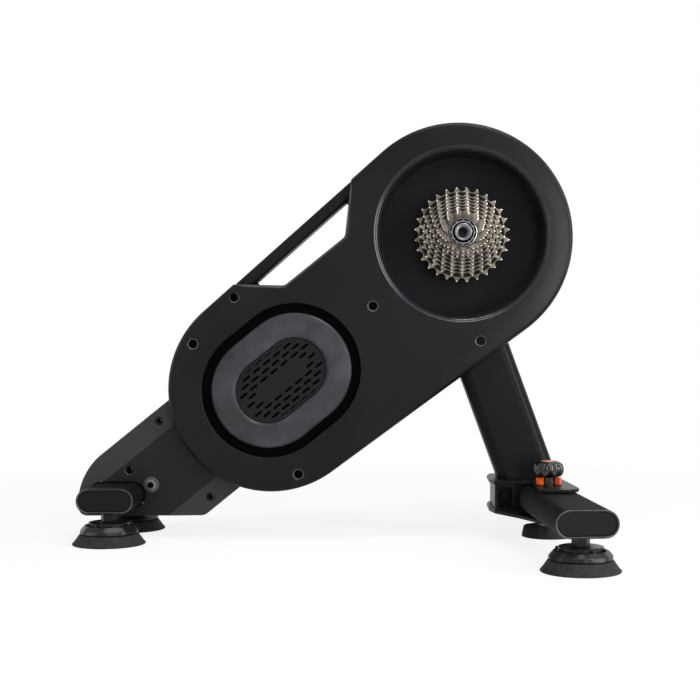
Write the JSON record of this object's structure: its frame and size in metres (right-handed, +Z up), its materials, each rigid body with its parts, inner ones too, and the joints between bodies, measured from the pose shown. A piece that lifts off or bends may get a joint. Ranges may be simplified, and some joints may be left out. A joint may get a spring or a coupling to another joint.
{
  "type": "direct drive bike trainer",
  "caption": "Stand that takes the place of a bike's rear wheel: its sprockets drive a belt and a braked flywheel in a slanted housing, on folding legs with levelling feet.",
  "frame": {"origin": "on the floor, under the middle of the trainer's length and width with its legs open", "axes": "+X the way the bike faces, drive side with the sprockets at -Y, +Z up"},
  "size_m": [0.6284, 0.5904, 0.5068],
  "materials": {
    "black_housing": "matt",
    "dark_plastic": "matt",
    "grey_ring": "satin",
    "leg_paint": "satin",
    "foot_rubber": "matt",
    "belt_rubber": "matt",
    "aluminium": "satin",
    "steel": "brushed",
    "bright_chrome": "polished",
    "flywheel_iron": "machined",
    "winding_copper": "enamelled",
    "orange_plastic": "satin",
    "board_green": "satin"
  },
  "bodies": {
    "base": {"frame_plate": "aluminium", "rear_leg_near": "black_housing", "rear_leg_far": "black_housing", "rear_bar": "leg_paint", "rear_bar_plug_near": "dark_plastic", "rear_bar_plug_far": "dark_plastic", "rear_bar_bolt": "bright_chrome", "front_cover": "black_housing", "back_cover": "black_housing", "brake_cover_ring": "grey_ring", "brake_grille": "dark_plastic", "carry_handle": "leg_paint", "post": "leg_paint", "post_bolt_1": "steel", "post_bolt_2": "steel", "leg_bracket": "leg_paint", "leg_pivot_bolt_near": "steel", "leg_pivot_bolt_far": "steel", "centre_foot_pad": "foot_rubber", "centre_foot_stem": "steel", "main_axle": "dark_plastic", "drive_end_cap": "bright_chrome", "far_end_cap": "aluminium", "hub_bearing_near": "steel", "hub_bearing_far": "steel", "flywheel_bearing_near": "steel", "flywheel_bearing_far": "steel", "brake_stator": "winding_copper", "drive_belt": "belt_rubber", "idler_arm": "aluminium", "control_board": "board_green", "power_inlet": "dark_plastic"},
    "hub": {"hub_shaft": "steel", "drive_pulley": "aluminium", "ratchet_ring": "steel"},
    "cassette": {"freehub_body": "aluminium", "cassette_lockring": "bright_chrome", "cogs_large": "steel", "cogs_middle": "steel", "cogs_small": "steel"},
    "flywheel_set": {"flywheel": "flywheel_iron", "flywheel_shaft": "steel", "flywheel_pulley": "steel"},
    "idler": {"idler_roller": "steel"},
    "near_leg": {"front_leg_near": "leg_paint", "front_leg_plug_near": "dark_plastic"},
    "near_lock": {"lock_collar_near": "orange_plastic"},
    "near_knob": {"lock_knob_near": "dark_plastic"},
    "far_leg": {"front_leg_far": "leg_paint", "front_leg_plug_far": "dark_plastic"},
    "far_lock": {"lock_collar_far": "orange_plastic"},
    "far_knob": {"lock_knob_far": "dark_plastic"},
    "rear_near_foot": {"foot_pad_rear_near": "foot_rubber"},
    "rear_near_screw": {"foot_screw_rear_near": "dark_plastic"},
    "rear_far_foot": {"foot_pad_rear_far": "foot_rubber"},
    "rear_far_screw": {"foot_screw_rear_far": "dark_plastic"},
    "front_near_foot": {"foot_pad_front_near": "foot_rubber"},
    "front_near_screw": {"foot_screw_front_near": "dark_plastic"},
    "front_far_foot": {"foot_pad_front_far": "foot_rubber"},
    "front_far_screw": {"foot_screw_front_far": "dark_plastic"}
  },
  "joints": [
    {"name": "flywheel_spin", "type": "hinge", "parent": "base", "child": "flywheel_set", "pos_m": [-0.07664, 0, 0.18383], "axis": [0, 1, 0], "continuous": true},
    {"name": "hub_spin", "type": "hinge", "parent": "base", "child": "hub", "pos_m": [0.15573, 0, 0.372], "axis": [0, 1, 0], "continuous": true},
    {"name": "idler_spin", "type": "hinge", "parent": "base", "child": "idler", "pos_m": [0.03496, 0, 0.19539], "axis": [0, 1, 0], "continuous": true},
    {"name": "freewheel", "type": "hinge", "parent": "hub", "child": "cassette", "pos_m": [0.15573, 0, 0.372], "axis": [0, 1, 0], "continuous": true},
    {"name": "near_leg_fold", "type": "hinge", "parent": "base", "child": "near_leg", "pos_m": [0.25523, -0.086, 0.0535], "axis": [0, 0, -1], "range_deg": [0, 95]},
    {"name": "near_lock_lift", "type": "slide", "parent": "base", "child": "near_lock", "axis": [0, 0, 1], "range_m": [0, 0.005]},
    {"name": "near_knob_turn", "type": "hinge", "parent": "near_lock", "child": "near_knob", "pos_m": [0.25523, -0.086, 0.09], "axis": [0, 0, 1], "range_deg": [0, 1440]},
    {"name": "far_leg_fold", "type": "hinge", "parent": "base", "child": "far_leg", "pos_m": [0.25523, 0.086, 0.0535], "axis": [0, 0, 1], "range_deg": [0, 95]},
    {"name": "far_lock_lift", "type": "slide", "parent": "base", "child": "far_lock", "axis": [0, 0, 1], "range_m": [0, 0.005]},
    {"name": "far_knob_turn", "type": "hinge", "parent": "far_lock", "child": "far_knob", "pos_m": [0.25523, 0.086, 0.09], "axis": [0, 0, 1], "range_deg": [0, 1440]},
    {"name": "rear_near_foot_level", "type": "slide", "parent": "base", "child": "rear_near_foot", "axis": [0, 0, -1], "range_m": [0, 0.012]},
    {"name": "rear_near_screw_turn", "type": "hinge", "parent": "rear_near_foot", "child": "rear_near_screw", "pos_m": [-0.26674, -0.064, 0.02], "axis": [0, 0, -1], "range_deg": [0, 2880]},
    {"name": "rear_far_foot_level", "type": "slide", "parent": "base", "child": "rear_far_foot", "axis": [0, 0, -1], "range_m": [0, 0.012]},
    {"name": "rear_far_screw_turn", "type": "hinge", "parent": "rear_far_foot", "child": "rear_far_screw", "pos_m": [-0.26674, 0.064, 0.02], "axis": [0, 0, -1], "range_deg": [0, 2880]},
    {"name": "front_near_foot_level", "type": "slide", "parent": "near_leg", "child": "front_near_foot", "axis": [0, 0, -1], "range_m": [0, 0.012]},
    {"name": "front_near_screw_turn", "type": "hinge", "parent": "front_near_foot", "child": "front_near_screw", "pos_m": [0.27124, -0.25223, 0.02], "axis": [0, 0, -1], "range_deg": [0, 2880]},
    {"name": "front_far_foot_level", "type": "slide", "parent": "far_leg", "child": "front_far_foot", "axis": [0, 0, -1], "range_m": [0, 0.012]},
    {"name": "front_far_screw_turn", "type": "hinge", "parent": "front_far_foot", "child": "front_far_screw", "pos_m": [0.27124, 0.25223, 0.02], "axis": [0, 0, -1], "range_deg": [0, 2880]}
  ],
  "couplings": [
    {"joint": "hub_spin", "follows": "flywheel_spin", "ratio": 0.17895},
    {"joint": "idler_spin", "follows": "flywheel_spin", "ratio": -1.2143},
    {"joint": "near_knob_turn", "follows": "near_lock_lift", "rad_per_m": 5026.5},
    {"joint": "far_knob_turn", "follows": "far_lock_lift", "rad_per_m": 5026.5},
    {"joint": "rear_near_screw_turn", "follows": "rear_near_foot_level", "rad_per_m": 4188.8},
    {"joint": "rear_far_screw_turn", "follows": "rear_far_foot_level", "rad_per_m": 4188.8},
    {"joint": "front_near_screw_turn", "follows": "front_near_foot_level", "rad_per_m": 4188.8},
    {"joint": "front_far_screw_turn", "follows": "front_far_foot_level", "rad_per_m": 4188.8}
  ]
}
